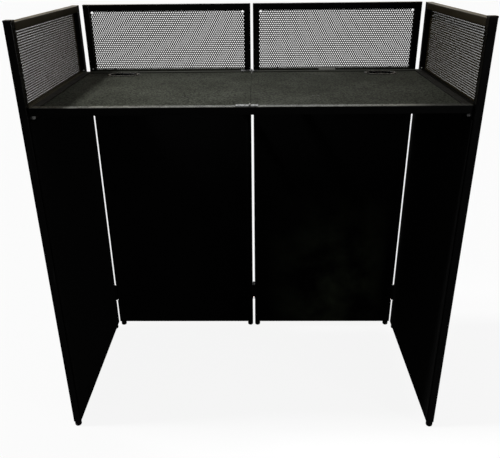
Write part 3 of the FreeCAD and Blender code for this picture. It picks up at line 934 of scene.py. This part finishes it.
@dataclass
class Grille:
    """The perforated sheet in a frame's upper window."""

    frame: FoldingFrame
    hole: float = 4.05 * MM
    pitch: float = 6.9 * MM
    gauge: float = 0.86 * MM
    notch: float = 7.0 * MM
    across_doublings: int = 7
    up_doublings: int = 4
    tack: float = 2.4 * MM
    tack_shape: Triple = (1.5, 0.6, 0.6)
    tacks_along: tuple[float, ...] = (0.12, 0.37, 0.63, 0.88)
    tacks_up: Span = (0.25, 0.75)

    def cell(self, draft: Draft) -> None:
        """Draws one round hole in its six-sided share of the sheet.

        Args:
            draft: An empty draft.
        """
        hole = draft.ring(self.hole / 2, 0)
        edge = draft.ring(self.pitch / ROOT3, 0)
        draft.moved(Matrix.Rotation(math.pi / 12, 4, "Z"))
        rim = list(dict.fromkeys(v for e in edge for v in e.verts))
        sides = [v for v in rim if abs(math.sin(3 * math.atan2(v.co.y, v.co.x))) < 0.5]
        bmesh.ops.scale(draft.mesh, vec=(ROOT3 / 2, ROOT3 / 2, 1), verts=sides)
        draft.skin([hole, edge])

    def build_sheet(self) -> None:
        """Repeats the holes over the window, trims the sheet and notches its corners."""
        low, high = self.frame.own_box("grille")
        wide, tall = high.x - low.x, high.z - low.z
        row = self.pitch * ROOT3 / 2
        draft = Draft()
        self.cell(draft)
        draft.repeated(Vector((self.pitch / 2, row, 0)), 1)
        across = (Vector((self.pitch, 0, 0)), self.across_doublings, wide)
        up = (Vector((0, 2 * row, 0)), self.up_doublings, tall)
        for step, doublings, size in (across, up):
            draft.repeated(step, doublings)
            draft.moved(Matrix.Translation(-step * 2**doublings / 2))
            for way in (-step.normalized(), step.normalized()):
                draft.trimmed(way * size / 2, way)
            draft.merged()
        self.notch_corners(draft, wide, tall)
        draft.thickened(self.gauge)
        middle = (low + high) / 2
        draft.moved(self.frame.turn @ Matrix.Translation((middle.x, high.y, middle.z)) @ UPRIGHT)
        name = self.frame.name
        sheet = draft.piece(f"grille_{name}", GRILLE_PAINT, name, "grille_steel")
        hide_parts(f"{name}_grille")

    def notch_corners(self, draft: Draft, wide: float, tall: float) -> None:
        """Cuts a square out of both upper corners to clear the weld beads.

        Args:
            draft: The flat sheet about the origin.
            wide: Its width.
            tall: Its height.
        """
        x, y = wide / 2 - self.notch, tall / 2 - self.notch
        draft.trimmed((0, y, 0), (0, 1, 0), keep=True)
        for side in SIDES:
            draft.trimmed((side * x, 0, 0), (side, 0, 0), keep=True)
        draft.without(lambda middle: abs(middle.x) > x and middle.y > y)

    def build_tacks(self) -> None:
        """Small tack welds that hold the sheet to the tubes round it."""
        low, high = self.frame.own_box("grille")
        draft = Draft()
        bmesh.ops.create_icosphere(draft.mesh, subdivisions=2, radius=self.tack)
        draft.scaled(*self.tack_shape)
        along = [low.x + (high.x - low.x) * share for share in self.tacks_along]
        upright = [low.z + (high.z - low.z) * share for share in self.tacks_up]
        places = [Matrix.Translation((x, low.y, z)) for x in along for z in (low.z, high.z)]
        quarter = Matrix.Rotation(math.radians(90), 4, "Y")
        places += [Matrix.Translation((x, low.y, z)) @ quarter for x in (low.x, high.x) for z in upright]
        draft.set_at(self.frame.turn @ place for place in places)
        draft.piece(f"grille_tacks_{self.frame.name}", PAINT, self.frame.name, "frame_paint", SOFT_CREASE)

    def build(self) -> None:
        """Builds the sheet and its tack welds."""
        self.build_sheet()
        self.build_tacks()


@dataclass
class Scrim:
    """The cloth over a frame's lower window: sheet, turned hem, stitches and hook-and-loop tape."""

    frame: FoldingFrame
    side_hem: float = 15 * MM
    bottom_hem: float = 18 * MM
    top_hem: float = 12 * MM
    hem_thick: float = 1.35 * MM
    hem_rounding: float = 0.45 * MM
    tape_thick: float = 1.5 * MM
    tape_inset: float = 1.5 * MM
    tape_share: float = 0.8
    tape_rounding: float = 0.2 * MM
    cloth: float = 0.35 * MM
    cloth_inset: float = 1 * MM
    cloth_back: float = 2.3 * MM
    ripple: float = 0.28 * MM
    waves: tuple[tuple[float, ...], ...] = (  # across, slant, up, shift and height of each
        (5.0, 1.2, 2.2, 0.0, 0.7),
        (15.0, -3.0, 5.0, 5.0, 0.35),
    )
    slack_from: Triple = (0.47, 0.48, 9.0)  # where sides and ends let go, and how fast
    stitch: Span = (0.55 * MM, 0.5 * MM)
    stitch_fill: float = 0.78
    stitch_back: float = 2.85 * MM
    stitch_inside: float = 2.6 * MM
    lap: float = 4.6 * MM
    hinge_room: float = 35 * MM
    columns: int = 52
    rows: int = 94

    @property
    def toward_hinge(self) -> int:
        """On which end of the frame the corner hinges are: 1 or -1 along its own X."""
        return self.frame.hand.value * (1 if self.frame.in_front else -1)

    @property
    def own_box(self) -> tuple[Vector, Vector]:
        """The scrim's corners along the frame's own axes, with the lap past the stile on the hinges.

        Returns:
            The lowest and the highest corner.
        """
        low, high = self.frame.own_box("scrim")
        wider = high if self.toward_hinge > 0 else low
        wider.x += self.toward_hinge * self.lap
        return low, high

    @property
    def flat(self) -> Span:
        """The scrim's width and height."""
        low, high = self.own_box
        return high.x - low.x, high.z - low.z

    def cut_for_hinges(self, draft: Draft) -> None:
        """Cuts the lap away beside the corner hinges.

        Args:
            draft: A flat draft of the scrim, about the origin in the XY plane.
        """
        way, room = self.toward_hinge, self.hinge_room
        edge = self.flat[0] / 2 - self.lap
        draft.trimmed((way * edge, 0, 0), (way, 0, 0), keep=True)
        low, high = self.own_box
        heights = [height - (low.z + high.z) / 2 for height in self.frame.leaf_heights]
        for height in heights:
            for step in SIDES:
                draft.trimmed((0, height + step * room, 0), (0, step, 0), keep=True)
        draft.without(lambda spot: spot.x * way > edge and any(abs(spot.y - z) < room for z in heights))

    def border(self, inset: float, hem: float, thickness: float, rounding: float) -> Draft:
        """A flat band round the edge of the scrim, drawn in the XY plane.

        Args:
            inset: From the scrim's outer edge to the band's.
            hem: How much of the hem's width the band keeps.
            thickness: The band's thickness.
            rounding: Radius of its edges.

        Returns:
            The band, about the middle of the scrim.
        """
        wide, tall = self.flat
        draft = Draft()
        mesh = draft.mesh
        loops = []
        for share in (0.0, hem):
            hems = (self.side_hem, self.bottom_hem, self.top_hem)
            side, bottom, top = (inset + (size - inset) * share for size in hems)
            verts = bmesh.ops.create_grid(mesh, x_segments=1, y_segments=1, size=0.5)["verts"]
            bmesh.ops.scale(mesh, vec=(wide - 2 * side, tall - bottom - top, 1), verts=verts)
            bmesh.ops.translate(mesh, vec=(0, (bottom - top) / 2, 0), verts=verts)
            loops.append(edges_of(verts))
        bmesh.ops.delete(mesh, geom=mesh.faces[:], context="FACES_ONLY")
        draft.skin(loops)
        self.cut_for_hinges(draft)
        draft.thickened(thickness)
        bmesh.ops.recalc_face_normals(mesh, faces=mesh.faces[:])
        corners = [edge for edge in mesh.edges if edge.calc_face_angle(0.0) > BENT]
        shape = {"affect": "EDGES", "segments": 2, "profile": 0.5, "material": -1}
        bmesh.ops.bevel(mesh, geom=corners, offset=rounding, offset_type="OFFSET", **shape)
        return draft

    def stand(self, draft: Draft, back: float) -> None:
        """Stands a flat draft up in the scrim's place.

        Args:
            draft: What was drawn about the origin in the XY plane, its back on z = 0.
            back: Distance of its back from the tubes, towards the user.
        """
        low, high = self.own_box
        middle = (low + high) / 2
        draft.moved(self.frame.turn @ Matrix.Translation((middle.x, high.y - back, middle.z)) @ UPRIGHT)

    def build_sheet(self) -> bpy.types.Object:
        """Stretches the cloth, with faint ripples between the hems.

        Returns:
            The sheet.
        """
        wide, tall = (size - 2 * self.cloth_inset for size in self.flat)
        draft = Draft()
        bmesh.ops.create_grid(draft.mesh, x_segments=self.columns, y_segments=self.rows, size=0.5)
        draft.scaled(wide, tall, 1)
        own = 3.7 * (self.frame.hand.value + 2) + (0.0 if self.frame.in_front else 11.0)
        side, end, rate = self.slack_from
        for vert in draft.mesh.verts:
            across, up = vert.co.x / wide, vert.co.y / tall
            loose = min(1.0, rate * (side - abs(across))) * min(1.0, rate * (end - abs(up)))
            for quick, slant, rise, shift, height in self.waves:
                wave = noise.noise(Vector((across * quick + up * slant, up * rise, own + shift)))
                vert.co.z += self.ripple * max(0.0, loose) * height * wave
        self.cut_for_hinges(draft)
        draft.thickened(self.cloth)
        self.stand(draft, self.cloth_back)
        name = self.frame.name
        sheet = draft.piece(f"scrim_{name}", CLOTH, name, "scrim_cloth", SOFT_CREASE)
        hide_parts(f"{name}_scrim")
        return sheet

    def build_stitches(self) -> bpy.types.Object:
        """Sews a row of stitches inside each edge of the hem.

        Returns:
            The stitches.
        """
        wide, tall = self.flat
        x = wide / 2 - self.side_hem + self.stitch_inside
        bottom = -tall / 2 + self.bottom_hem - self.stitch_inside
        top = tall / 2 - self.top_hem + self.stitch_inside
        quarter = Matrix.Rotation(math.radians(90), 4, "Z")
        level = [Matrix.Translation((0, height, 0)) for height in (bottom, top)]
        upright = [Matrix.Translation((side * x, (bottom + top) / 2, 0)) @ quarter for side in SIDES]
        rows = Draft()
        for doublings, length, places in ((7, 2 * x, level), (8, top - bottom, upright)):
            row = Draft()
            bmesh.ops.create_icosphere(row.mesh, subdivisions=1, radius=0.5)
            step = length / 2**doublings
            row.scaled(step * self.stitch_fill, *self.stitch)
            row.repeated(Vector((step, 0, 0)), doublings)
            row.moved(Matrix.Translation(((step - length) / 2, 0, 0)))
            row.set_at(places)
            kept = row.as_mesh("stitch_row")
            rows.mesh.from_mesh(kept)
            bpy.data.meshes.remove(kept)
        self.stand(rows, self.stitch_back)
        name = self.frame.name
        return rows.piece(f"scrim_stitches_{name}", THREAD, name, "scrim_cloth", SOFT_CREASE)

    def build(self) -> None:
        """Builds the cloth and what is sewn to it."""
        name = self.frame.name
        sheet = self.build_sheet()
        hem = self.border(0.0, 1.0, self.hem_thick, self.hem_rounding)
        self.stand(hem, self.tape_thick)
        turned = hem.piece(f"scrim_hem_{name}", CLOTH, name, "scrim_cloth", SOFT_CREASE)
        tape = self.border(self.tape_inset, self.tape_share, self.tape_thick, self.tape_rounding)
        self.stand(tape, 0.0)
        strip = tape.piece(f"scrim_tape_{name}", TAPE, name, "scrim_cloth")
        stitches = self.build_stitches()
        self.flat


@dataclass
class TableHalf:
    """One half of the table: tube frame, pebbled panel, cable grommet and screws."""

    hand: Hand
    port_apart: float = 46 * MM
    bore: float = 17.8 * MM
    sleeve: float = 19.8 * MM
    flange: float = 27 * MM
    rebate: float = 994 * MM
    panel_screw: Screw = Screw(3.3 * MM, 0.9 * MM)
    screw_line: float = 169 * MM
    screw_apart: float = 6.5 * MM
    screw_rows: Span = (-0.157, 0.096)
    hinge_screw: Screw = Screw(2.6 * MM, 0.4 * MM)
    leaf_thick: float = 1.5 * MM
    leaf_inset: float = 9 * MM
    left_leaf_spots: tuple[float, ...] = (-0.012, -0.027)
    right_leaf_spots: tuple[float, ...] = (0.0125,)

    @property
    def name(self) -> str:
        """The half's name, which is also its body's."""
        return f"table_{self.hand.name.lower()}"

    def build_grommet(self) -> None:
        """The sleeve and rounded flange that line the cable opening."""
        low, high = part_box(f"{self.name}_grommet")
        centre = (low + high) / 2
        top = high.z
        draft = Draft()
        profile = (
            (self.bore, low.z),
            (self.bore, top - 1.8 * MM),
            (self.bore + 0.5 * MM, top - 0.6 * MM),
            (self.bore + 1.6 * MM, top),
            (self.flange - 2.2 * MM, top),
            (self.flange - 0.7 * MM, top - 0.3 * MM),
            (self.flange, top - 0.9 * MM),
            (self.flange, self.rebate),
            (self.sleeve, self.rebate),
            (self.sleeve, low.z),
        )
        loops = [draft.ring(radius, height, 40, self.port_apart) for radius, height in profile]
        draft.skin([*loops, loops[0]])
        draft.moved(Matrix.Translation((centre.x, centre.y, 0)))
        piece = draft.piece(f"grommet_{self.name}", GROMMET_PLASTIC, self.name, "grommet_plastic")
        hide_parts(f"{self.name}_grommet")

    def build_screws(self) -> None:
        """Pairs of dark screws that hold the panel to the bar under it, and those in the hinge leaves."""
        up = Vector((0, 0, 1))
        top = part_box(f"{self.name}_panel")[1].z
        pair = [self.hand.value * (self.screw_line + step * self.screw_apart) for step in SIDES]
        spots = [Vector((x, y, top)) for x in pair for y in self.screw_rows]
        self.panel_screw.drive(f"panel_screws_{self.name}", self.name, spots, up)
        low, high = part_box(f"{self.name}_hinge_leaves")
        leaf_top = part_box(f"{self.name}_frame")[1].z + self.leaf_thick
        places = self.left_leaf_spots if self.hand is Hand.LEFT else self.right_leaf_spots
        rows = (low.y + self.leaf_inset, high.y - self.leaf_inset)
        spots = [Vector((x, y, leaf_top)) for x in places for y in rows]
        self.hinge_screw.drive(f"table_hinge_screws_{self.name}", self.name, spots, up)

    def build(self) -> None:
        """Dresses the half and builds what belongs to it."""
        parts = {"frame": TABLE_PAINT, "panel": LAMINATE, "hinge_leaves": ZINC}
        dressed({f"{self.name}_{part}": finish for part, finish in parts.items()})
        self.build_grommet()
        self.build_screws()


@dataclass
class TableLock:
    """The sliding bolt under the far rail, its guides and keeper, and the hinge pins."""

    screw: Screw = Screw(1.8 * MM, 0.8 * MM)
    screw_out: float = 5 * MM
    plate: float = 2 * MM

    def build(self) -> None:
        """Plates the fittings and screws the guide plate to the rail."""
        dressed({"table_hinge_pins": ZINC, "table_bolt": ZINC})
        dressed({"table_bolt_guides": PAINT, "table_bolt_keeper": PAINT})
        low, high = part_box("table_bolt_guides")
        middle = (low + high) / 2
        ends = [middle.y + side * self.screw_out for side in SIDES]
        spots = [Vector((middle.x, y, high.z - self.plate)) for y in ends]
        self.screw.drive("bolt_guide_screws", "table_left", spots, Vector((0, 0, -1)))


@dataclass(frozen=True)
class SoftLamp:
    """A square lamp: where it hangs, what it points at, its side, its watts and how far it fans out."""

    name: str
    place: Triple
    aim: Triple
    size: float
    power: float
    spread: float = 180.0

    def build(self) -> None:
        """Hangs the lamp."""
        data = bpy.data.lights.new(self.name, "AREA")
        data.size = self.size
        data.spread = math.radians(self.spread)
        data.energy = self.power
        place = Vector(self.place)
        stood(self.name, data, facing(place, place - Vector(self.aim)))


@dataclass
class Surroundings(Wiring):
    """White to the eye, bright beyond the booth, warm walls aside and dim behind the camera."""

    ambient: float = 0.13
    beyond: float = 1.3
    aside: float = 0.42
    behind_camera: float = 0.016
    side_wall: Colour = (1.0, 0.84, 0.56)
    walls_from: Span = (0.12, 0.36)
    ahead_from: Span = (-0.3, 0.3)
    coordinates = "Generated"

    def build(self) -> None:
        """Wires the world."""
        world = bpy.data.worlds.new("white_surroundings")
        bpy.context.scene.world = world
        world.use_nodes = True
        self.tree = world.node_tree
        self.tree.nodes.clear()
        across, depth, _ = self.along()
        off_axis = self.sums("ABSOLUTE", across)
        ahead = self.between(off_axis, *self.walls_from, self.beyond, self.aside)
        mirrored = self.mixed(self.between(depth, *self.ahead_from), self.behind_camera, ahead)
        seen = self.mixed(self.rays("Is Camera Ray"), mirrored, 1.0)
        level = self.mixed(self.rays(*SEEN_RAYS), self.ambient, seen)
        warm = self.mixed(self.rays("Is Glossy Ray"), 0.0, self.between(off_axis, *self.walls_from))
        tint = self.shaded(warm, WHITE, self.side_wall)
        light = self.step("ShaderNodeBackground", {"Color": tint, "Strength": level})
        self.step("ShaderNodeOutputWorld", {0: light.outputs[0]})


@dataclass
class Studio:
    """The pale floor, the white surroundings, soft lamps and the camera."""

    floor_size: float = 40.0
    sun_place: Triple = (0, 0, 4)
    sun_toward: Triple = (-0.497, -0.02, 0.868)
    sun_strength: float = 0.95
    sun_spread: float = 5.0
    lamps: tuple[SoftLamp, ...] = (
        SoftLamp("high_left_lamp", (-1.62, -0.12, 3.5), (-0.17, -0.1, 1.0), 0.24, 1.5, 25),
        SoftLamp("user_side_lamp", (3.2, -2.4, 1.1), (0, -0.2, 0.9), 0.5, 12),
    )
    place: Triple = (0.0223, -1.6663, 1.318)
    pitch: float = 24.93
    yaw: float = -1.026
    roll: float = -0.623
    lens: float = 41.78
    sensor: float = 36.0

    def build_floor(self) -> None:
        """A wide pale floor that keeps the booth's shadow."""
        draft = Draft()
        bmesh.ops.create_grid(draft.mesh, x_segments=8, y_segments=8, size=self.floor_size)
        mesh = draft.as_mesh("floor")
        mesh.materials.append(FLOOR.material)
        stood("floor", mesh)

    def build_lamps(self) -> None:
        """An even light from far away, high on the left, and the soft lamps."""
        data = bpy.data.lights.new("high_left_light", "SUN")
        data.energy = self.sun_strength
        data.angle = math.radians(self.sun_spread)
        stood(data.name, data, facing(Vector(self.sun_place), Vector(self.sun_toward)))
        for lamp in self.lamps:
            lamp.build()

    def build_camera(self) -> None:
        """The camera at the photograph's viewing angle."""
        pitch, yaw, roll = (math.radians(angle) for angle in (self.pitch, self.yaw, self.roll))
        ahead = Vector((math.sin(yaw) * math.cos(pitch), math.cos(yaw) * math.cos(pitch), -math.sin(pitch)))
        right = Vector((math.cos(yaw), -math.sin(yaw), 0))
        level = Matrix((right, right.cross(ahead), -ahead)).transposed().to_4x4()
        data = bpy.data.cameras.new("camera")
        data.sensor_fit = "HORIZONTAL"
        data.sensor_width = self.sensor
        data.lens = self.lens
        place = Matrix.Translation(self.place) @ level @ Matrix.Rotation(roll, 4, "Z")
        bpy.context.scene.camera = stood("camera", data, place)

    def build(self) -> None:
        """Sets up everything round the booth."""
        self.build_camera()
        self.build_floor()
        Surroundings().build()
        self.build_lamps()
        bpy.context.scene.view_settings.view_transform = "Standard"


def main() -> None:
    """Builds the studio, the four frames and the table."""
    logging.basicConfig(level=logging.INFO, format="%(name)s %(message)s")
    Studio().build()
    for stance in Stance:
        for hand in Hand:
            FoldingFrame(stance, hand).build()
    for hand in Hand:
        TableHalf(hand).build()
    TableLock().build()


if __name__ == "__main__":
    main()
